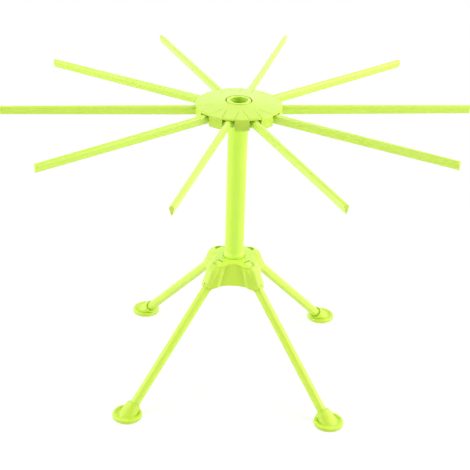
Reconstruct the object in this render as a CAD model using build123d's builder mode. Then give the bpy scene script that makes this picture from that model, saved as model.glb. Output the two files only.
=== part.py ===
from build123d import *

import os
from math import cos, radians, sin, tan

os.makedirs("parts", exist_ok=True)

# Pasta drying rack. Origin on the column's axis at the floor, +Z up, millimetres.
# The legs stand on the diagonals, and the open side between two legs faces -Y.

# Driving dimensions of the whole rack
arm_count = 10
arm_reach = 225.0
arm_level = 290.0
arm_first_angle = 5.75
arm_fold_angle = 83.0
hub_radius = 41.8
leg_count = 4
leg_first_angle = 45.0
leg_slope = 45.6
foot_circle_radius = 141.6

# Clearances shared by every joint and seat
running_gap = 0.08
seat_gap = 0.05
moving_gap = 0.3
cut_overrun = 2.0

# Column tube and the ring cap on its mouth
column_radius = 9.7
column_wall = 1.2
mouth_rise = 10.0
cap_ring_radius = 11.85
cap_lip_height = 2.0
cap_skirt_height = 5.0
cap_outer_round = 1.4
cap_inner_round = 0.7
shoulder_radius = 12.2
shoulder_height = 1.6
flare_radius = 10.9
flare_land = 0.7
flare_rise = 4.5

# Arms: an arched top over sides that narrow to a thin lower edge
arm_pivot_setback = 5.8
arm_root_rise = 4.5
arm_root_drop = 4.9
arm_root_half_width = 3.07
arm_root_edge = 1.3
arm_tip_rise = 4.1
arm_tip_drop = 4.2
arm_tip_half_width = 2.3
arm_tip_edge = 0.9
arm_tip_round = 0.5
arm_knuckle_radius = 4.3
arm_knuckle_half_width = 3.6
arm_boss_radius = 2.1
arm_trunnion_radius = 1.6

# Turning hub: cap and plate
hub_wall = 1.6
hub_hole_radius = 13.0
hub_rim_rise = 6.2
hub_crown_rise = 9.6
hub_skirt_drop = 5.0
hub_rim_round = 1.2
arm_slot_half_width = 6.0
cheek_wall = 1.6
tongue_slit_width = 0.3
tongue_slit_length = 17.0
hub_plate_thickness = 1.6
sleeve_radius = 12.2
sleeve_top_rise = 2.7
sleeve_drop = 9.2

# Legs
leg_half_width = 4.4
leg_half_height = 4.5
leg_facet_half_width = 1.75
leg_facet_half_height = 1.9
leg_edge_round = 0.7
leg_knuckle_radius = 6.8
leg_knuckle_half_width = 3.6
leg_trunnion_radius = 2.0

# Base hub: a four-sided hollow body, with levels counted from the legs' pivots
base_crown_rise = 8.0
base_edge_rise = 5.8
base_bottom_drop = 15.5
base_crown_half = 12.5
base_edge_margin = 2.5
base_bottom_margin = 11.5
base_crown_corner = 4.0
base_edge_corner = 7.0
base_bottom_corner = 11.5
base_wall = 2.0
base_wall_run = 2.3
base_rim_round = 1.4
bottom_arch_rise = 2.9
panel_top_depth = 4.2
panel_bottom_depth = 1.9
panel_arch_radius = 9.0
panel_foot_half = 15.0
panel_bevel = 5.0
socket_wall = 1.4
socket_drop = 17.2
flare_seat_depth = 5.2
leg_cheek_drop = 9.7
leg_cheek_reach = 5.5
leg_cheek_wall = 1.4
head_slot_reach = 7.2
head_slot_setback = 2.2
head_slot_corner = 2.0

# Ridge over each leg: distances from the pivot along the leg, heights over the leg's axis
ridge_root_distance = 0.5
ridge_root_height = 9.3
ridge_root_half_width = 6.9
ridge_shoulder_distance = 4.0
ridge_shoulder_height = 10.5
ridge_middle_distance = 12.0
ridge_middle_height = 9.6
ridge_middle_half_width = 6.5
ridge_length = 24.5
ridge_mouth_height = 6.4
ridge_mouth_half_width = 5.9
ridge_side_drop = 1.2
ridge_round = 4.9
ridge_mouth_round = 0.6
detent_hole_radius = 0.75
detent_setback = 2.6

# Retainer under the base hub
retainer_plate = 1.8
retainer_cup_wall = 1.5
retainer_floor = 1.5

# Feet
foot_radius = 14.7
foot_rim_height = 3.6
foot_rim_width = 2.9
foot_dish_height = 2.5
foot_rim_round = 1.5
foot_rim_inner_round = 0.8
foot_cone_radius = 9.8
foot_mouth_radius = 7.0
foot_mouth_distance = 13.4
foot_mouth_round = 0.5
foot_lip_bore_radius = 5.7
foot_lip_depth = 1.6
foot_socket_floor = 6.0

# Sizes of the column and the hub that follow from the ones above
bore_radius = column_radius - column_wall
mouth_level = arm_level + mouth_rise
tube_top = mouth_level - cap_lip_height
sleeve_top = arm_level + sleeve_top_rise
sleeve_bottom = arm_level - sleeve_drop
shoulder_top = sleeve_bottom - moving_gap
skirt_bottom = arm_level - hub_skirt_drop
hub_plate_top = skirt_bottom + hub_plate_thickness
tongue_ceiling = arm_level + arm_root_rise + moving_gap
arm_pivot_radius = hub_radius - arm_pivot_setback
arm_slot_start = arm_pivot_radius - arm_root_drop - moving_gap
arm_boss_half_width = arm_slot_half_width - moving_gap
arm_trunnion_half_width = arm_slot_half_width + cheek_wall - moving_gap
cheek_outer_half = arm_slot_half_width + cheek_wall

# Sizes of the legs and the base hub that follow from the ones above
socket_inner_radius = column_radius + seat_gap
flare_hole_radius = flare_radius + moving_gap
socket_outer_radius = flare_hole_radius + socket_wall
leg_pivot_radius = socket_outer_radius + leg_knuckle_radius + 2 * moving_gap
leg_run = cos(radians(leg_slope))
leg_fall = sin(radians(leg_slope))
leg_pivot_level = (foot_circle_radius - leg_pivot_radius) * tan(radians(leg_slope))
leg_length = (foot_circle_radius - leg_pivot_radius) / leg_run
leg_slot_half_width = leg_half_width + moving_gap
leg_slot_outer_half = leg_slot_half_width + leg_cheek_wall
leg_trunnion_half_width = leg_slot_outer_half - seat_gap
leg_cheek_bottom_level = leg_pivot_level - leg_cheek_drop
head_slot_half_width = leg_knuckle_half_width + moving_gap
swing_inner = leg_pivot_radius - leg_half_height - moving_gap
base_crown_level = leg_pivot_level + base_crown_rise
base_edge_level = leg_pivot_level + base_edge_rise
base_bottom_level = leg_pivot_level - base_bottom_drop
base_edge_half = leg_pivot_radius + base_edge_margin
base_bottom_half = leg_pivot_radius + base_bottom_margin
crown_slope = (base_crown_level - base_edge_level) / (base_edge_half - base_crown_half)
panel_top_half = base_edge_half - panel_top_depth
panel_top_level = base_crown_level - crown_slope * (panel_top_half - base_crown_half)
panel_bottom_half = base_bottom_half - panel_bottom_depth
socket_bottom_level = leg_pivot_level - socket_drop
flare_seat_level = base_crown_level - flare_seat_depth


def radial_point(radius, level):
    """A point of the vertical plane through the column at angle zero."""
    return (radius, 0, level)


def leg_point(distance, offset):
    """Radius and level of a point of the open leg's plane.

    distance runs from the pivot towards the foot, and offset is square to the leg, upwards.
    """
    radius = leg_pivot_radius + distance * leg_run + offset * leg_fall
    level = leg_pivot_level - distance * leg_fall + offset * leg_run
    return (radius, level)


def leg_plane(distance):
    """The plane square to the open leg, with its x across the leg and its y upwards."""
    radius, level = leg_point(distance, 0)
    return Plane(origin=radial_point(radius, level), x_dir=(0, 1, 0), z_dir=(leg_run, 0, -leg_fall))


def write(builder, name):
    """Label a finished piece and write it under its own name."""
    builder.part.label = name
    export_step(builder.part, f"parts/{name}.step")


# Column tube: shoulder under the hub's sleeve, flare over the base hub's socket
with BuildPart() as column_tube:
    with BuildSketch(Plane.XZ):
        with BuildLine():
            shoulder_low = shoulder_top - shoulder_height
            shoulder_root = shoulder_low - (shoulder_radius - column_radius)
            flare_top = base_crown_level + flare_land
            Polyline(
                (bore_radius, tube_top),
                (bore_radius, socket_bottom_level),
                (column_radius, socket_bottom_level),
                (column_radius, flare_seat_level),
                (flare_radius, flare_seat_level),
                (flare_radius, flare_top),
            )
            flare_step = flare_radius - column_radius
            flare_sweep = (flare_rise**2 + flare_step**2) / (2 * flare_step)
            RadiusArc(
                (flare_radius, flare_top),
                (column_radius, flare_top + flare_rise),
                -flare_sweep,
            )
            Polyline(
                (column_radius, flare_top + flare_rise),
                (column_radius, shoulder_root),
                (shoulder_radius, shoulder_low),
                (shoulder_radius, shoulder_top),
                (column_radius, shoulder_top),
                (column_radius, tube_top),
                (bore_radius, tube_top),
            )
        make_face()
    revolve(axis=Axis.Z)
write(column_tube, "column_tube")

# Ring cap pushed over the tube's end, which keeps the hub's sleeve down
with BuildPart() as column_cap:
    with BuildSketch(Plane.XZ):
        with BuildLine():
            Polyline(
                (bore_radius, mouth_level),
                (cap_ring_radius, mouth_level),
                (cap_ring_radius, tube_top - cap_skirt_height),
                (column_radius + seat_gap, tube_top - cap_skirt_height),
                (column_radius + seat_gap, tube_top),
                (bore_radius, tube_top),
                close=True,
            )
        make_face()
    revolve(axis=Axis.Z)
    top_edges = column_cap.edges().filter_by(GeomType.CIRCLE).group_by(Axis.Z)[-1]
    fillet(top_edges.sort_by(SortBy.RADIUS)[-1], radius=cap_outer_round)
    lip_edges = column_cap.edges().filter_by(GeomType.CIRCLE).group_by(Axis.Z)[-1]
    fillet(lip_edges.sort_by(SortBy.RADIUS)[0], radius=cap_inner_round)
write(column_cap, "column_cap")

# Walls of one arm's pocket: two cheeks and the wall behind the knuckle
with BuildPart() as arm_pocket_walls:
    with BuildSketch(Plane.XY.offset(hub_plate_top)):
        with BuildLine():
            pocket_end = hub_radius - hub_wall / 2
            Polyline(
                (arm_slot_start - cheek_wall, -cheek_outer_half),
                (pocket_end, -cheek_outer_half),
                (pocket_end, cheek_outer_half),
                (arm_slot_start - cheek_wall, cheek_outer_half),
                close=True,
            )
        make_face()
    extrude(amount=tongue_ceiling - hub_plate_top + hub_wall / 2)

# Space of one arm: the slot that it swings in and the notches of its trunnions
with BuildPart() as arm_space:
    slot_length = hub_radius + cut_overrun - arm_slot_start
    with BuildSketch(Plane.XY.offset(tongue_ceiling)):
        with Locations((arm_slot_start + slot_length / 2, 0)):
            Rectangle(slot_length, 2 * arm_slot_half_width)
    extrude(amount=-(tongue_ceiling - skirt_bottom + cut_overrun))
    with BuildSketch(Plane.XZ):
        notch_radius = arm_trunnion_radius + running_gap
        notch_depth = arm_level - hub_plate_top
        with Locations((arm_pivot_radius, arm_level)):
            Circle(notch_radius)
        with Locations((arm_pivot_radius, arm_level - notch_depth / 2)):
            Rectangle(2 * notch_radius, notch_depth)
    extrude(amount=cheek_outer_half, both=True)

# The two slits beside the tongue that lies over one arm
with BuildPart() as tongue_slits:
    slit_reach = tongue_slit_length + cut_overrun
    slit_place = arm_slot_half_width - tongue_slit_width / 2
    with BuildSketch(Plane.XY.offset(tongue_ceiling - cut_overrun)):
        with Locations(
            (hub_radius - tongue_slit_length + slit_reach / 2, slit_place),
            (hub_radius - tongue_slit_length + slit_reach / 2, -slit_place),
        ):
            Rectangle(slit_reach, tongue_slit_width)
    extrude(amount=hub_crown_rise)

# Hub cap: a low cone with a skirt, ten pockets and ten slit tongues
with BuildPart() as hub_cap:
    with BuildSketch(Plane.XZ):
        with BuildLine():
            collar_radius = hub_hole_radius + hub_wall
            Polyline(
                (hub_hole_radius, arm_level + hub_crown_rise),
                (hub_radius, arm_level + hub_rim_rise),
                (hub_radius, skirt_bottom),
                (hub_radius - hub_wall, skirt_bottom),
                (hub_radius - hub_wall, tongue_ceiling),
                (arm_slot_start, tongue_ceiling),
                (collar_radius, arm_level + hub_crown_rise - hub_wall),
                (collar_radius, hub_plate_top),
                (hub_hole_radius, hub_plate_top),
                close=True,
            )
        make_face()
    revolve(axis=Axis.Z)
    crown_edges = hub_cap.edges().filter_by(GeomType.CIRCLE).filter_by(
        lambda edge: edge.center().Z > tongue_ceiling
    )
    fillet(crown_edges.sort_by(SortBy.RADIUS)[-1], radius=hub_rim_round)
    with PolarLocations(0, arm_count, start_angle=arm_first_angle):
        add(arm_pocket_walls.part)
    with PolarLocations(0, arm_count, start_angle=arm_first_angle):
        add(arm_space.part, mode=Mode.SUBTRACT)
    with PolarLocations(0, arm_count, start_angle=arm_first_angle):
        add(tongue_slits.part, mode=Mode.SUBTRACT)
write(hub_cap, "hub_cap")

# Where the folded arm's lower side meets the hub plate's slot, less the moving gap
fold_cos = cos(radians(arm_fold_angle))
fold_sin = sin(radians(arm_fold_angle))
stop_run = (hub_skirt_drop - arm_root_drop * fold_cos) / fold_sin
arm_stop_radius = arm_pivot_radius + stop_run * fold_cos - arm_root_drop * fold_sin - moving_gap

# Hub plate: sleeve on the column, slots for the folded arms, posts under the trunnions
with BuildPart() as hub_plate:
    with BuildSketch(Plane.XZ):
        with BuildLine():
            Polyline(
                (column_radius + running_gap, sleeve_bottom),
                (sleeve_radius, sleeve_bottom),
                (sleeve_radius, skirt_bottom),
                (hub_radius - hub_wall - seat_gap, skirt_bottom),
                (hub_radius - hub_wall - seat_gap, hub_plate_top),
                (sleeve_radius, hub_plate_top),
                (sleeve_radius, sleeve_top),
                (column_radius + running_gap, sleeve_top),
                close=True,
            )
        make_face()
    revolve(axis=Axis.Z)
    with BuildSketch(Plane.XY.offset(skirt_bottom)):
        with PolarLocations(0, arm_count, start_angle=arm_first_angle):
            with Locations((arm_stop_radius + hub_radius / 2, 0)):
                Rectangle(hub_radius, 2 * arm_slot_half_width)
    extrude(amount=hub_plate_thickness, mode=Mode.SUBTRACT)
    with BuildSketch(Plane.XY.offset(hub_plate_top)):
        post_wall = cheek_wall - 2 * seat_gap
        post_place = arm_slot_half_width + cheek_wall / 2
        with PolarLocations(0, arm_count, start_angle=arm_first_angle):
            with Locations((arm_pivot_radius, post_place), (arm_pivot_radius, -post_place)):
                Rectangle(2 * arm_trunnion_radius, post_wall)
    extrude(amount=arm_level - arm_trunnion_radius - running_gap - hub_plate_top)
write(hub_plate, "hub_plate")


def arm_section(radius, rise, drop, half_width, edge):
    """Section of an arm: an arched top, a crease where it is widest, sides that narrow."""
    widest = rise - half_width
    across = Plane(origin=radial_point(radius, arm_level), x_dir=(0, 1, 0), z_dir=(1, 0, 0))
    with BuildSketch(across) as section:
        with BuildLine():
            ThreePointArc((-half_width, widest), (0, rise), (half_width, widest))
            Line((half_width, widest), (edge, edge - drop))
            ThreePointArc((edge, edge - drop), (0, -drop), (-edge, edge - drop))
            Line((-edge, edge - drop), (-half_width, widest))
        make_face()
    return section.sketch


# One arm at angle zero, open: bar, round knuckle, shoulders and trunnions
with BuildPart() as arm_blank:
    arm_root = arm_section(
        arm_pivot_radius, arm_root_rise, arm_root_drop, arm_root_half_width, arm_root_edge
    )
    arm_tip = arm_section(arm_reach, arm_tip_rise, arm_tip_drop, arm_tip_half_width, arm_tip_edge)
    loft(sections=[arm_root, arm_tip], ruled=True)
    fillet(arm_blank.faces().sort_by(Axis.X)[-1].edges(), radius=arm_tip_round)
    pivot_plane = Plane(
        origin=radial_point(arm_pivot_radius, arm_level), x_dir=(1, 0, 0), z_dir=(0, -1, 0)
    )
    with BuildSketch(pivot_plane):
        Circle(arm_knuckle_radius)
    extrude(amount=arm_knuckle_half_width, both=True)
    with BuildSketch(pivot_plane):
        Circle(arm_boss_radius)
    extrude(amount=arm_boss_half_width, both=True)
    with BuildSketch(pivot_plane):
        Circle(arm_trunnion_radius)
    extrude(amount=arm_trunnion_half_width, both=True)

for arm_index in range(arm_count):
    with BuildPart() as arm:
        add(arm_blank.part, rotation=(0, 0, arm_first_angle + arm_index * 360 / arm_count))
    write(arm, f"arm_{arm_index + 1:02d}")


def square_section(level, half, corner):
    """A rounded square around the column at one level."""
    with BuildSketch(Plane.XY.offset(level)) as section:
        RectangleRounded(2 * half, 2 * half, corner)
    return section.sketch


def panel_half(level):
    """Half the width between two opposite panels at one level."""
    share = (panel_top_level - level) / (panel_top_level - base_bottom_level)
    return panel_top_half + share * (panel_bottom_half - panel_top_half)


def side_plane(top_half, top_level, bottom_half, offset):
    """Plane of a sloping side that faces -Y, from its top edge down, moved outwards by an offset."""
    slope_run = bottom_half - top_half
    slope_fall = top_level - base_bottom_level
    outwards = Vector(0, -slope_fall, slope_run).normalized()
    origin = Vector(0, -top_half, top_level) + outwards * offset
    return Plane(origin=origin, x_dir=(1, 0, 0), z_dir=outwards)


def arch_section(plane, margin):
    """Arch of a panel's recess on one plane, with its crown at the plane's top, grown by a margin."""
    half = panel_arch_radius + margin
    foot_half = panel_foot_half + margin
    foot_place = base_bottom_level - base_crown_level - panel_arch_radius
    with BuildSketch(plane) as section:
        with BuildLine():
            ThreePointArc(
                (half, -panel_arch_radius),
                (0, margin),
                (-half, -panel_arch_radius),
            )
            Polyline(
                (-half, -panel_arch_radius),
                (-foot_half, foot_place),
                (foot_half, foot_place),
                (half, -panel_arch_radius),
            )
        make_face()
    return section.sketch


def ridge_section(distance, height, half_width):
    """Section of the ridge over a leg: a round top between two upright sides."""
    full_height = height + ridge_side_drop
    with BuildSketch(leg_plane(distance)) as section:
        with Locations((0, height - full_height / 2)):
            Rectangle(2 * half_width, full_height)
        fillet(section.vertices().group_by(Axis.Y)[-1], radius=ridge_round)
    return section.sketch


def leg_section(distance, margin):
    """The leg's eight-sided section with softened creases, grown by a margin."""
    half_width = leg_half_width + margin
    half_height = leg_half_height + margin
    facet_half_width = leg_facet_half_width + margin
    facet_half_height = leg_facet_half_height + margin / 2
    with BuildSketch(leg_plane(distance)) as section:
        with BuildLine():
            Polyline(
                (-facet_half_width, half_height),
                (facet_half_width, half_height),
                (half_width, facet_half_height),
                (half_width, -facet_half_height),
                (facet_half_width, -half_height),
                (-facet_half_width, -half_height),
                (-half_width, -facet_half_height),
                (-half_width, facet_half_height),
                close=True,
            )
        make_face()
        fillet(section.vertices(), radius=leg_edge_round)
    return section.sketch


# Ridge over one leg, a solid bar until the leg's space is cut
with BuildPart() as leg_ridge:
    ridge_root = ridge_section(ridge_root_distance, ridge_root_height, ridge_root_half_width)
    ridge_shoulder = ridge_section(
        ridge_shoulder_distance, ridge_shoulder_height, ridge_root_half_width
    )
    ridge_middle = ridge_section(
        ridge_middle_distance, ridge_middle_height, ridge_middle_half_width
    )
    ridge_mouth = ridge_section(ridge_length, ridge_mouth_height, ridge_mouth_half_width)
    loft(sections=[ridge_root, ridge_shoulder, ridge_middle, ridge_mouth])
    mouth_face = leg_ridge.faces().sort_by(Axis(origin=(0, 0, 0), direction=(leg_run, 0, -leg_fall)))
    fillet(mouth_face[-1].edges(), radius=ridge_mouth_round)

# Cheeks of one leg inside the base hub, a solid block until the leg's space is cut
with BuildPart() as leg_cheeks:
    cheek_length = leg_pivot_radius + leg_cheek_reach - socket_inner_radius
    with BuildSketch(Plane.XY.offset(leg_cheek_bottom_level)):
        with Locations((socket_inner_radius + cheek_length / 2, 0)):
            Rectangle(cheek_length, 2 * leg_slot_outer_half)
    extrude(amount=base_edge_level - base_wall / 2 - leg_cheek_bottom_level)

# Space of one leg: its swing from open to upright, its knuckle and the slot over its head
with BuildPart() as leg_space:
    space_length = ridge_length + leg_pivot_radius
    swing_side = leg_facet_half_height + moving_gap
    swing_top = leg_point(0, swing_side)
    swing_end = leg_point(space_length, swing_side)
    swing_bottom_level = leg_point(space_length, -leg_half_height - moving_gap)[1]
    with BuildSketch(Plane.XZ):
        with BuildLine():
            Polyline(
                (swing_inner, leg_pivot_level),
                (swing_inner, swing_bottom_level),
                (swing_end[0], swing_bottom_level),
                swing_end,
                swing_top,
                close=True,
            )
        make_face()
        with Locations((leg_pivot_radius, leg_pivot_level)):
            Circle(leg_half_height + moving_gap)
    extrude(amount=leg_slot_half_width, both=True)
    extrude(leg_section(0, moving_gap), amount=ridge_length + cut_overrun)
    with BuildSketch(Plane.XZ):
        with Locations((leg_pivot_radius, leg_pivot_level)):
            Circle(leg_knuckle_radius + moving_gap)
    extrude(amount=head_slot_half_width, both=True)
    with BuildSketch(Plane.XY.offset(leg_cheek_bottom_level)):
        slot_start = leg_pivot_radius - head_slot_setback
        slot_round = leg_pivot_radius + head_slot_reach - head_slot_half_width
        slot_length = slot_round + head_slot_corner - slot_start
        with Locations((slot_start + slot_length / 2, 0)):
            RectangleRounded(slot_length, 2 * head_slot_half_width, head_slot_corner)
        with Locations((slot_round, 0)):
            Circle(head_slot_half_width)
    extrude(amount=base_crown_level + cut_overrun - leg_cheek_bottom_level)
    with BuildSketch(Plane.XZ):
        leg_notch_radius = leg_trunnion_radius + running_gap
        with Locations((leg_pivot_radius, leg_pivot_level)):
            Circle(leg_notch_radius)
        with Locations((leg_pivot_radius, leg_pivot_level - leg_cheek_drop / 2)):
            Rectangle(2 * leg_notch_radius, leg_cheek_drop)
    extrude(amount=leg_slot_outer_half, both=True)

# Detent hole near the mouth of one channel
with BuildPart() as detent_hole:
    detent_radius, detent_level = leg_point(ridge_length - detent_setback, 0)
    detent_plane = Plane(
        origin=radial_point(detent_radius, detent_level),
        x_dir=(0, 1, 0),
        z_dir=(leg_fall, 0, leg_run),
    )
    with BuildSketch(detent_plane):
        Circle(detent_hole_radius)
    extrude(amount=ridge_shoulder_height)

# Recess of one side's panel, an arch whose walls are bevelled outwards
with BuildPart() as panel_recess:
    recess_floor = side_plane(panel_top_half, panel_top_level, panel_bottom_half, -moving_gap)
    recess_mouth = side_plane(base_edge_half, base_edge_level, base_bottom_half, cut_overrun / 2)
    loft(sections=[arch_section(recess_floor, 0), arch_section(recess_mouth, panel_bevel)], ruled=True)

# Shallow arch of a side's lower edge
with BuildPart() as bottom_arch:
    bottom_arch_half = base_bottom_half - base_bottom_corner
    with BuildSketch(Plane.XZ):
        with BuildLine():
            ThreePointArc(
                (-bottom_arch_half, base_bottom_level),
                (0, base_bottom_level + bottom_arch_rise),
                (bottom_arch_half, base_bottom_level),
            )
            Line((bottom_arch_half, base_bottom_level), (-bottom_arch_half, base_bottom_level))
        make_face()
    extrude(amount=base_bottom_half + cut_overrun, both=True)

# Body behind the panels: its sides are the panels' sunk faces
with BuildPart() as panel_body:
    panel_crown = square_section(base_crown_level, base_crown_half, base_crown_corner)
    panel_edge = square_section(panel_top_level, panel_top_half, base_crown_corner)
    panel_bottom = square_section(base_bottom_level, panel_bottom_half, base_bottom_corner)
    loft(sections=[panel_crown, panel_edge, panel_bottom], ruled=True)

# Hollow inside of the base hub, one wall inside the panels
with BuildPart() as base_hollow:
    hollow_top = base_edge_level - base_wall
    hollow_half = panel_half(hollow_top) - base_wall_run
    hollow_roof = square_section(hollow_top, hollow_half, base_crown_corner)
    hollow_mouth = square_section(
        base_bottom_level,
        panel_bottom_half - base_wall_run,
        base_bottom_corner - base_wall_run,
    )
    loft(sections=[hollow_roof, hollow_mouth], ruled=True)

# Base hub: sloping body with arched panels, four ridges, socket and cheeks
with BuildPart() as base_hub:
    crown = square_section(base_crown_level, base_crown_half, base_crown_corner)
    edge_section = square_section(base_edge_level, base_edge_half, base_edge_corner)
    bottom_section = square_section(base_bottom_level, base_bottom_half, base_bottom_corner)
    loft(sections=[crown, edge_section, bottom_section], ruled=True)
    rim_lines = base_hub.edges().filter_by(
        lambda edge: abs(edge.center().Z - base_edge_level) < seat_gap
    )
    fillet(rim_lines, radius=base_rim_round)
    with PolarLocations(0, leg_count):
        add(panel_recess.part, mode=Mode.SUBTRACT)
    add(panel_body.part)
    with PolarLocations(0, 2, angular_range=180):
        add(bottom_arch.part, mode=Mode.SUBTRACT)
    add(base_hollow.part, mode=Mode.SUBTRACT)
    with PolarLocations(0, leg_count, start_angle=leg_first_angle):
        add(leg_ridge.part)
    with PolarLocations(0, leg_count, start_angle=leg_first_angle):
        add(leg_cheeks.part)
    with BuildSketch(Plane.XY.offset(socket_bottom_level)):
        Circle(socket_outer_radius)
    extrude(amount=base_edge_level - socket_bottom_level)
    with BuildSketch(Plane.XY.offset(socket_bottom_level)):
        Circle(socket_inner_radius)
    extrude(amount=base_crown_level + cut_overrun - socket_bottom_level, mode=Mode.SUBTRACT)
    with BuildSketch(Plane.XY.offset(flare_seat_level)):
        Circle(flare_hole_radius)
    extrude(amount=base_crown_level + cut_overrun - flare_seat_level, mode=Mode.SUBTRACT)
    with PolarLocations(0, leg_count, start_angle=leg_first_angle):
        add(leg_space.part, mode=Mode.SUBTRACT)
    with PolarLocations(0, leg_count, start_angle=leg_first_angle):
        add(detent_hole.part, mode=Mode.SUBTRACT)
write(base_hub, "base_hub")

# Retainer: snaps in under the cheeks, its posts close the notches, its cup plugs the tube
with BuildPart() as base_retainer:
    retainer_top = leg_cheek_bottom_level
    retainer_bottom = retainer_top - retainer_plate
    retainer_radius = panel_half(retainer_top) - base_wall_run - moving_gap
    cup_inner = socket_outer_radius + seat_gap
    cup_outer = cup_inner + retainer_cup_wall
    cup_bottom = socket_bottom_level - retainer_floor
    with BuildSketch(Plane.XZ):
        with BuildLine():
            Polyline(
                (0, cup_bottom),
                (cup_outer, cup_bottom),
                (cup_outer, retainer_bottom),
                (retainer_radius, retainer_bottom),
                (retainer_radius, retainer_top),
                (cup_inner, retainer_top),
                (cup_inner, socket_bottom_level),
                (0, socket_bottom_level),
                close=True,
            )
        make_face()
    revolve(axis=Axis.Z)
    with BuildSketch(Plane.XY.offset(retainer_bottom)):
        with PolarLocations(0, leg_count, start_angle=leg_first_angle):
            with Locations((swing_inner + retainer_radius / 2, 0)):
                Rectangle(retainer_radius, 2 * leg_slot_half_width)
    extrude(amount=retainer_plate, mode=Mode.SUBTRACT)
    with BuildSketch(Plane.XY.offset(retainer_top)):
        leg_post_wall = leg_cheek_wall - 2 * seat_gap
        leg_post_place = leg_slot_half_width + leg_cheek_wall / 2
        with PolarLocations(0, leg_count, start_angle=leg_first_angle):
            with Locations((leg_pivot_radius, leg_post_place), (leg_pivot_radius, -leg_post_place)):
                Rectangle(2 * leg_trunnion_radius, leg_post_wall)
    extrude(amount=leg_pivot_level - leg_trunnion_radius - running_gap - retainer_top)
write(base_retainer, "base_retainer")

# One leg at angle zero, open: bar, round knuckle and trunnions
with BuildPart() as leg_blank:
    extrude(leg_section(0, 0), amount=leg_length - foot_socket_floor - moving_gap)
    leg_pivot_plane = Plane(
        origin=radial_point(leg_pivot_radius, leg_pivot_level), x_dir=(1, 0, 0), z_dir=(0, -1, 0)
    )
    with BuildSketch(leg_pivot_plane):
        Circle(leg_knuckle_radius)
    extrude(amount=leg_knuckle_half_width, both=True)
    with BuildSketch(leg_pivot_plane):
        Circle(leg_trunnion_radius)
    extrude(amount=leg_trunnion_half_width, both=True)

# One foot at angle zero: rimmed disc, leaning cone and the leg's socket
with BuildPart() as foot_blank:
    with BuildSketch(Plane.XZ):
        with BuildLine():
            dish_outer = foot_circle_radius + foot_radius - foot_rim_width
            dish_edge = dish_outer - (foot_rim_height - foot_dish_height)
            Polyline(
                (foot_circle_radius, 0),
                (foot_circle_radius + foot_radius, 0),
                (foot_circle_radius + foot_radius, foot_rim_height),
                (dish_outer, foot_rim_height),
                (dish_edge, foot_dish_height),
                (foot_circle_radius, foot_dish_height),
                close=True,
            )
        make_face()
    revolve(axis=Axis(origin=radial_point(foot_circle_radius, 0), direction=(0, 0, 1)))
    outer_edge = foot_blank.edges().filter_by(GeomType.CIRCLE).group_by(Axis.Z)[-1]
    fillet(outer_edge.sort_by(SortBy.RADIUS)[-1], radius=foot_rim_round)
    inner_edge = foot_blank.edges().filter_by(GeomType.CIRCLE).group_by(Axis.Z)[-1]
    fillet(inner_edge.sort_by(SortBy.RADIUS)[0], radius=foot_rim_inner_round)
    with BuildSketch(Plane.XY.offset(foot_dish_height / 2)):
        with Locations((foot_circle_radius, 0)):
            Circle(foot_cone_radius)
    with BuildSketch(leg_plane(leg_length - foot_mouth_distance)):
        Circle(foot_mouth_radius)
    loft()
    mouth_edges = foot_blank.edges().filter_by(GeomType.CIRCLE).sort_by(Axis.Z)
    fillet(mouth_edges[-1], radius=foot_mouth_round)
    with BuildSketch(leg_plane(leg_length - foot_mouth_distance - cut_overrun)):
        Circle(foot_lip_bore_radius)
    extrude(amount=cut_overrun + foot_lip_depth, mode=Mode.SUBTRACT)
    extrude(
        leg_section(leg_length - foot_mouth_distance - cut_overrun, seat_gap),
        amount=foot_mouth_distance + cut_overrun - foot_socket_floor,
        mode=Mode.SUBTRACT,
    )

for leg_index in range(leg_count):
    leg_angle = leg_first_angle + leg_index * 360 / leg_count
    with BuildPart() as leg:
        add(leg_blank.part, rotation=(0, 0, leg_angle))
    write(leg, f"leg_{leg_index + 1}")
    with BuildPart() as foot:
        add(foot_blank.part, rotation=(0, 0, leg_angle))
    write(foot, f"foot_{leg_index + 1}")
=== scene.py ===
# %% [markdown]
# # Pasta drying rack in lime plastic
# The rack is a moulded kitchen tool: ten arms spread level from a turning hub, a plain column
# carries the hub, and four legs fold out of a base hub onto round feet. The moulded parts come
# ready from the construction model, each as an object of its own on the body that it moves with.
# This lesson sets the studio round them, gives them their finish and names any part left without
# one.

# %% Load the rack
import bpy
from math import pi, radians
from mathutils import Matrix, Vector

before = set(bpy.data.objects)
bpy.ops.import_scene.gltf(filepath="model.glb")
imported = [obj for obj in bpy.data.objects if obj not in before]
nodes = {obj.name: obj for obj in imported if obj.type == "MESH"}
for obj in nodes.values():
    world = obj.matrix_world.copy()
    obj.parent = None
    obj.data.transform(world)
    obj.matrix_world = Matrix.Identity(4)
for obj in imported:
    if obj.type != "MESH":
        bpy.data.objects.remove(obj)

bpy.ops.object.select_all(action="DESELECT")
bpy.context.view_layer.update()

# %% [markdown]
# ## Camera
# The photograph looks down on the rack from the front, from a little over a metre away, with a
# long lens. The camera's place was found by laying the axes of the arms, the legs and the column
# over the picture. The picture also leans by under two degrees, so the camera is rolled. A
# tracking constraint could aim it too, but a matrix of turn, tilt and roll holds the roll as well
# and can be read at a glance.

# %% Camera at the photograph's viewing angle
camera_place = Vector((0.01096, -1.02144, 0.6938))
camera_turn = radians(0.595)
looking_down = 27.83
camera_tilt = radians(90 - looking_down)
camera_roll = radians(1.81)
camera_lens = 87.63
camera_sensor = 36.0
nearest_view = 0.01

bpy.ops.object.camera_add(location=camera_place)
camera = bpy.context.object
camera.name = "photo_camera"
camera.data.sensor_width = camera_sensor
camera.data.lens = camera_lens
camera.data.clip_start = nearest_view
camera.matrix_world = (
    Matrix.Translation(camera_place)
    @ Matrix.Rotation(camera_turn, 4, "Z")
    @ Matrix.Rotation(camera_tilt, 4, "X")
    @ Matrix.Rotation(camera_roll, 4, "Z")
)
bpy.context.scene.camera = camera
print("camera at", [round(value, 3) for value in camera_place], "lens", camera_lens)

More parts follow.
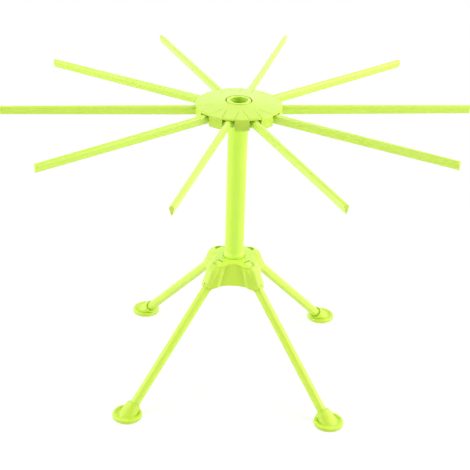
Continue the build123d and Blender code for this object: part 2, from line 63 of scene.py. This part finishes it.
# %% [markdown]
# ## Helpers for nodes
# Every finish below is a small tree of nodes, which could also be wired by hand in the shader
# editor. In code, one helper adds a node, sets its options, and links or fills its inputs, so that
# a tree reads from top to bottom like a recipe. The other two do sums, and fade one range of
# values into another.

# %% Helpers that add nodes
def add_node(tree, kind, inputs=(), **options):
    node = tree.nodes.new(kind)
    for option, value in options.items():
        setattr(node, option, value)
    for socket, value in dict(inputs).items():
        if isinstance(value, bpy.types.NodeSocket):
            tree.links.new(value, node.inputs[socket])
        else:
            node.inputs[socket].default_value = value
    return node


def calculate(tree, operation, *values):
    return add_node(
        tree, "ShaderNodeMath", dict(enumerate(values)), operation=operation
    ).outputs[0]


def fade(tree, value, start, end, low=0.0, high=1.0):
    return add_node(
        tree, "ShaderNodeMapRange",
        {"Value": value, "From Min": start, "From Max": end, "To Min": low, "To Max": high},
    ).outputs[0]


print("helpers: add_node, calculate, fade")

# %% [markdown]
# ## Studio floor
# The photograph is a catalogue picture on pure white. A floor lit until it is white would put too
# much light on the rack, so the floor is a pale matt sheet, a third of a millimetre under the feet.
# Only the camera and the reflections see it another way: as a thin sheet over white. Most of the
# white shows through it, and the rest is matt and keeps the soft shadow of the feet. Farther out it
# is clear, so it has no edge. A leg that is folded in reaches below the table's level, and it stays
# in sight through the sheet.

# %% Floor
floor_size = 9.0
floor_drop = 0.0003

bpy.ops.mesh.primitive_plane_add(size=floor_size, location=(0, 0, -floor_drop))
floor = bpy.context.object
floor.name = "studio_floor"
print("floor of", floor_size, "m")

# %% The floor as the camera sees it
shadow_colour = (0.34, 0.34, 0.34, 1.0)
white_through_sheet = (0.67, 0.67, 0.67, 1.0)
all_clear = (1.0, 1.0, 1.0, 1.0)
shadow_reach = 0.30
clear_reach = 0.62

floor_sheet = bpy.data.materials.new("floor_sheet")
floor_sheet.use_nodes = True
tree = floor_sheet.node_tree
tree.nodes.clear()
place = add_node(tree, "ShaderNodeTexCoord").outputs["Object"]
distance = add_node(tree, "ShaderNodeVectorMath", {0: place}, operation="LENGTH")
outside = fade(tree, distance.outputs["Value"], shadow_reach, clear_reach)
shaded = add_node(tree, "ShaderNodeBsdfDiffuse", {"Color": shadow_colour})
through = add_node(tree, "ShaderNodeBsdfTransparent", {"Color": white_through_sheet})
near = add_node(tree, "ShaderNodeAddShader", {0: shaded.outputs[0], 1: through.outputs[0]})
far = add_node(tree, "ShaderNodeBsdfTransparent", {"Color": all_clear})
seen = add_node(
    tree, "ShaderNodeMixShader", {0: outside, 1: near.outputs[0], 2: far.outputs[0]}
)
print("shadow kept within", shadow_reach, "m, clear beyond", clear_reach, "m")

# %% The floor as it throws light back
floor_colour = (0.80, 0.80, 0.79, 1.0)


def seen_directly(tree):
    path = add_node(tree, "ShaderNodeLightPath").outputs
    straight = calculate(tree, "MAXIMUM", path["Is Camera Ray"], path["Is Glossy Ray"])
    return calculate(tree, "MAXIMUM", straight, path["Is Transmission Ray"])


matt = add_node(tree, "ShaderNodeBsdfDiffuse", {"Color": floor_colour})
sheet = add_node(
    tree, "ShaderNodeMixShader",
    {0: seen_directly(tree), 1: matt.outputs[0], 2: seen.outputs[0]},
)
add_node(tree, "ShaderNodeOutputMaterial", {"Surface": sheet.outputs[0]})
floor.data.materials.append(floor_sheet)
print("light that the floor throws back:", floor_colour[:3])

# %% [markdown]
# ## Studio air
# The walls of the studio are pale too. One even level would light every side the same, and the rack
# would look flat. Here the walls send less light from the camera's side, which leaves the faces
# that look at the camera a shade darker, as in the photograph. Seen directly or in a reflection,
# the walls are plain white.

# %% Soft white surroundings
front_level = 0.14
back_level = 0.72
white_level = 1.0
air_colour = (1.0, 1.0, 1.0, 1.0)

bpy.context.scene.view_settings.view_transform = "Standard"
world = bpy.data.worlds.new("studio_air")
bpy.context.scene.world = world
world.use_nodes = True
tree = world.node_tree
tree.nodes.clear()
direction = add_node(tree, "ShaderNodeTexCoord").outputs["Generated"]
backwards = add_node(tree, "ShaderNodeSeparateXYZ", {"Vector": direction}).outputs["Y"]
ambient = fade(tree, backwards, -1.0, 1.0, front_level, back_level)
level = fade(tree, seen_directly(tree), 0.0, 1.0, ambient, white_level)
air = add_node(tree, "ShaderNodeBackground", {"Color": air_colour, "Strength": level})
add_node(tree, "ShaderNodeOutputWorld", {"Surface": air.outputs[0]})
print("surroundings from", front_level, "in front to", back_level, "behind")

# %% [markdown]
# ## Soft boxes
# In the photograph the sides of the column are bright, the arms have pale streaks along their
# tops, and no shadow has a hard edge. Two large soft boxes stand low beside the rack for the
# column's sides, and two weaker ones in front open up the faces towards the camera. Two small ones
# hang high for the streaks, because the same light from a smaller box gives a brighter reflection.
# A wide, weak one behind adds a sheen to the hub. Their power could be set by eye, in watts. Here
# it is worked out from a level: about that which a white sheet at the rack shows when it faces the
# box. So the seven are balanced in plain numbers.

# %% A soft box that faces the rack
rack_middle = Vector((0, 0, 0.17))


def soft_box(name, direction, distance, width, height, level):
    place = rack_middle + Vector(direction).normalized() * distance
    bpy.ops.object.light_add(type="AREA", location=place)
    box = bpy.context.object
    box.name = name
    box.data.shape = "RECTANGLE"
    box.data.size = width
    box.data.size_y = height
    box.data.energy = level * (pi * distance) ** 2
    box.visible_camera = False
    box.rotation_euler = (rack_middle - place).to_track_quat("-Z", "Y").to_euler()
    print(name, "gives", level, "with", round(box.data.energy, 1), "W")


# %% The seven soft boxes: direction from the rack, distance, width, height, level
soft_boxes = {
    "left_side_box": ((-1.0, -0.05, 0.12), 1.3, 1.3, 1.0, 0.58),
    "right_side_box": ((1.0, -0.05, 0.12), 1.3, 1.3, 1.0, 0.57),
    "left_front_box": ((-1.0, -0.90, 0.25), 1.3, 1.0, 1.0, 0.24),
    "right_front_box": ((1.0, -0.90, 0.25), 1.3, 1.0, 1.0, 0.24),
    "left_high_box": ((-0.50, 0.05, 0.86), 1.3, 0.60, 0.45, 0.27),
    "right_high_box": ((0.70, 0.10, 0.70), 1.3, 0.60, 0.45, 0.37),
    "back_box": ((0.10, 1.0, 0.45), 1.8, 2.0, 0.9, 0.10),
}
for name, setting in soft_boxes.items():
    soft_box(name, *setting)

# %% [markdown]
# ## Lime plastic
# The rack is moulded in lime-green plastic with a satin gloss. Real mouldings are never quite
# even: the colour drifts by a few percent, the melt leaves faint flow lines, the mould's surface
# leaves a fine grain, and handling leaves short rubs that are a little duller. A picture could give
# all this, but here each is a layer of noise. The noise reads the place on the part, so a layer
# keeps its real size on every piece. Noise stays mostly between 0.3 and 0.7, and that range is
# stretched to the layer's full swing.

# %% Layer: colour drift
drift_size = 0.028
noise_low, noise_high = 0.3, 0.7


def noise(tree, place, size=1.0, detail=2.0):
    return add_node(
        tree, "ShaderNodeTexNoise", {"Vector": place, "Scale": 1 / size, "Detail": detail}
    ).outputs["Fac"]


def drifting_colour(tree, place, deep, light):
    clouds = noise(tree, place, drift_size, detail=3.0)
    spread = fade(tree, clouds, noise_low, noise_high)
    return add_node(
        tree, "ShaderNodeMix", {"Factor": spread, "A": deep, "B": light}, data_type="RGBA"
    ).outputs[2]


print("layer: colour that drifts over", drift_size, "m")

# %% [markdown]
# ## Flow lines
# A bar can be filled from one end, and then its flow lines run along it. Noise that is stretched in
# one direction gives them, and a Mapping node turns it to the bar. A round part can be filled from
# its middle, and then its lines spread like spokes. Noise that reads the direction from the axis
# gives those, and the place is added, so that a spoke changes on its way out.

# %% Layer: lines that run along a bar
def stretched_noise(tree, place, turn, size):
    stretched = add_node(
        tree, "ShaderNodeMapping", {"Vector": place, "Rotation": turn, "Scale": size},
        vector_type="TEXTURE",
    )
    return noise(tree, stretched.outputs[0])


def straight_flow(turn, length=0.060, width=0.0024):
    def layer(tree, place):
        return stretched_noise(tree, place, turn, (length, width, width))
    return layer


print("layer: flow lines along a bar")


# %% Layer: lines that spread from the middle
def spreading_flow(streaks=16.0, ring=0.020):
    def vector(tree, operation, inputs):
        return add_node(tree, "ShaderNodeVectorMath", inputs, operation=operation).outputs[0]

    def layer(tree, place):
        level_place = vector(tree, "MULTIPLY", {0: place, 1: (1, 1, 0)})
        spoke = vector(tree, "NORMALIZE", {0: level_place})
        fan = vector(tree, "SCALE", {0: spoke, "Scale": streaks})
        rings = vector(tree, "SCALE", {0: place, "Scale": 1 / ring})
        return noise(tree, vector(tree, "ADD", {0: fan, 1: rings}), detail=3.0)
    return layer


print("layer: flow lines that spread from the middle")

# %% [markdown]
# ## Rubs from handling
# Folding and wiping leave short thin rubs in the gloss of a plastic tool. They could be painted one
# by one. A shorter stretched noise, turned aslant, spreads them over every part at once, and only
# its peaks are kept, so that most of the surface stays clean.

# %% Layer: rubs from handling
rub_size = (0.014, 0.0009, 0.0009)
rub_turn = (0.4, 0.5, 0.6)
rub_start, rub_full = 0.60, 0.76


def handling_rubs(tree, place):
    return fade(tree, stretched_noise(tree, place, rub_turn, rub_size), rub_start, rub_full)


print("layer: rubs of about", rub_size[0], "m")

# %% [markdown]
# ## Pin marks
# Pins push a moulding out of its mould and leave shallow round marks on a face that is out of
# sight. They could be cut into the mesh, but a tenth of a millimetre needs no shape of its own. The
# marks lie on a circle round the axis: the angle tells how far a place is from the nearest pin
# sideways, the radius tells how far it is outwards, and the two together give its distance.

# %% Layer: a circle of pin marks
mark_edge = 1.12


def hypotenuse(tree, first, second):
    squares = [calculate(tree, "POWER", side, 2.0) for side in (first, second)]
    return calculate(tree, "SQRT", calculate(tree, "ADD", *squares))


def pin_marks(count, circle, size):
    def layer(tree, place):
        axes = add_node(tree, "ShaderNodeSeparateXYZ", {"Vector": place}).outputs
        angle = calculate(tree, "ARCTAN2", axes["Y"], axes["X"])
        share = calculate(tree, "FRACT", calculate(tree, "MULTIPLY", angle, count / (2 * pi)))
        aside = calculate(
            tree, "MULTIPLY", calculate(tree, "SUBTRACT", share, 0.5), 2 * pi * circle / count
        )
        radius = hypotenuse(tree, axes["X"], axes["Y"])
        outwards = calculate(tree, "SUBTRACT", radius, circle)
        return fade(tree, hypotenuse(tree, aside, outwards), size, size * mark_edge)
    return layer


print("layer: pin marks on a circle")

# %% [markdown]
# ## The whole recipe
# The layers come together in one function. Colour, roughness and relief are linked, because they
# change over the surface. The refraction is the same all over, so it is a plain number on the
# shader. The relief is a chain of bumps: the grain first, then the flow lines, and last the pin
# marks, where a part has them.

# %% Relief of the surface
grain_size = 0.0005
grain_depth = 0.000008
grain_strength = 0.35
flow_depth = 0.000010
flow_strength = 0.5
mark_depth = 0.0001
mark_strength = 1.0


def surface_relief(tree, place, lines, marks):
    grain = noise(tree, place, grain_size)
    layers = [(grain, grain_strength, grain_depth), (lines, flow_strength, flow_depth)]
    if marks:
        layers.append((marks(tree, place), mark_strength, mark_depth))
    below = {}
    for height, strength, depth in layers:
        relief = add_node(
            tree, "ShaderNodeBump",
            {"Height": height, "Strength": strength, "Distance": depth, **below},
        )
        below = {"Normal": relief.outputs[0]}
    return relief.outputs[0]


print("relief: grain of", grain_size, "m, pin marks", mark_depth, "m deep")

# %% Recipe of the lime plastic
lime_light = (0.650, 0.870, 0.092, 1.0)
lime_deep = (0.620, 0.845, 0.074, 1.0)
plastic_ior = 1.49
flow_swing = 0.06
rub_dullness = 0.08


def lime_plastic(name, flow, roughness, light=lime_light, deep=lime_deep, marks=None):
    material = bpy.data.materials.new(name)
    material.use_nodes = True
    tree = material.node_tree
    shader = tree.nodes["Principled BSDF"].inputs
    place = add_node(tree, "ShaderNodeTexCoord").outputs["Object"]
    lines = flow(tree, place)
    smooth, rough = roughness - flow_swing / 2, roughness + flow_swing / 2
    satin = fade(tree, lines, noise_low, noise_high, smooth, rough)
    rubbed = calculate(tree, "MULTIPLY", handling_rubs(tree, place), rub_dullness)
    tree.links.new(drifting_colour(tree, place, deep, light), shader["Base Color"])
    tree.links.new(calculate(tree, "ADD", satin, rubbed), shader["Roughness"])
    tree.links.new(surface_relief(tree, place, lines, marks), shader["Normal"])
    shader["IOR"].default_value = plastic_ior
    return material


print("recipe: lime plastic from", lime_deep[:3], "to", lime_light[:3])

# %% [markdown]
# ## Arms
# An arm is a slim bar with its flow lines along it. Object coordinates have the same directions on
# all ten arms, while each arm points another way. One material for all would run across most of
# them, so each arm gets a material of its own, with the lines turned to its direction.

# %% Arms
# Painted sheen: the arm colours are the lime of the rest, made a little lighter and bluer for the
# pale sheen along the arms.
arm_light_with_painted_sheen = (0.655, 0.885, 0.100, 1.0)
arm_deep_with_painted_sheen = (0.628, 0.860, 0.082, 1.0)
first_arm_turn = radians(5.75)


def dress(name, material):
    node = nodes[name]
    node.data.materials.clear()
    node.data.materials.append(material)


arm_names = sorted(name for name in nodes if name.startswith("arm_"))
for index, name in enumerate(arm_names):
    turn = (0.0, 0.0, first_arm_turn + index * 2 * pi / len(arm_names))
    dress(name, lime_plastic(
        name + "_plastic", straight_flow(turn), roughness=0.26, light=arm_light_with_painted_sheen, deep=arm_deep_with_painted_sheen
    ))
print("arms dressed:", len(arm_names))

# %% [markdown]
# ## Legs
# A leg is a thicker bar that runs down at a slope, so its flow lines are tilted as well as turned.
# Its colours are the plain ones of the recipe.

# %% Legs
first_leg_turn = radians(45)
leg_slope = radians(45.6)

leg_names = sorted(name for name in nodes if name.startswith("leg_"))
for index, name in enumerate(leg_names):
    turn = (0.0, leg_slope, first_leg_turn + index * 2 * pi / len(leg_names))
    dress(name, lime_plastic(name + "_plastic", straight_flow(turn), roughness=0.26))
print("legs dressed:", len(leg_names))

# %% [markdown]
# ## Column and its cap
# The column is the smoothest part, with the highest gloss. Its colours are the lime of the rest,
# made a little lighter and greener with painted light for the light that shines through the thin
# tube. Its lines run upright. The ring cap is a small round part, whose lines spread from the
# middle.

# %% Column and cap
# Painted light: these colours are lighter and greener than the rest for light through the tube.
column_light_with_painted_light = (0.648, 0.960, 0.080, 1.0)
column_deep_with_painted_light = (0.620, 0.935, 0.066, 1.0)
upright = (0.0, -pi / 2, 0.0)

dress("column_tube", lime_plastic(
    "column_plastic", straight_flow(upright), roughness=0.22,
    light=column_light_with_painted_light, deep=column_deep_with_painted_light,
))
dress("column_cap", lime_plastic("cap_plastic", spreading_flow(), roughness=0.24))
print("column and cap dressed")

# %% [markdown]
# ## Hub
# The hub cap is the wide round part over the heads of the arms. It could be filled at its middle,
# so its flow lines spread outwards. Its top is less glossy than the arms. The plate that closes the
# hub is seen only from underneath, and there it has a circle of pin marks, as many as there are
# arms.

# %% Hub
# Painted shade: the hub cap's colours are a shade darker than the rest, for the dimmer light on its
# top.
hub_light_with_painted_shade = (0.612, 0.835, 0.076, 1.0)
hub_deep_with_painted_shade = (0.586, 0.810, 0.062, 1.0)

dress("hub_cap", lime_plastic(
    "hub_cap_plastic", spreading_flow(), roughness=0.32, light=hub_light_with_painted_shade, deep=hub_deep_with_painted_shade
))
dress("hub_plate", lime_plastic(
    "hub_plate_plastic", spreading_flow(), roughness=0.38,
    marks=pin_marks(count=10, circle=0.0185, size=0.0016),
))
print("hub dressed")

# %% [markdown]
# ## Base hub
# The base hub is a deep moulding with a channel for each leg, and its flow lines spread from the
# middle too. The retainer closes it from below. It is seen only from underneath, so it is left as
# dull as the hub plate.

# %% Base hub and its retainer
base_light = (0.605, 0.825, 0.074, 1.0)
base_deep = (0.578, 0.800, 0.060, 1.0)

dress("base_hub", lime_plastic(
    "base_hub_plastic", spreading_flow(), roughness=0.30, light=base_light, deep=base_deep
))
dress("base_retainer", lime_plastic("retainer_plastic", spreading_flow(), roughness=0.38))
print("base hub dressed")

# %% [markdown]
# ## Feet
# The feet are pushed on the legs and stand on the table. They are duller than the parts above them
# and a shade deeper in colour. Their lines are short and upright.

# %% Feet
foot_light = (0.605, 0.815, 0.066, 1.0)
foot_deep = (0.580, 0.790, 0.052, 1.0)

foot_names = sorted(name for name in nodes if name.startswith("foot_"))
for name in foot_names:
    dress(name, lime_plastic(
        name + "_plastic", straight_flow(upright, length=0.02), roughness=0.36,
        light=foot_light, deep=foot_deep,
    ))
print("feet dressed:", len(foot_names))

# %% [markdown]
# ## Parts without a finish
# Any part that was left without a finish is named.

# %% Parts left without a finish
undressed = [name for name in nodes if "plastic" not in nodes[name].data.materials[0].name]
print("parts without a finish:", undressed)
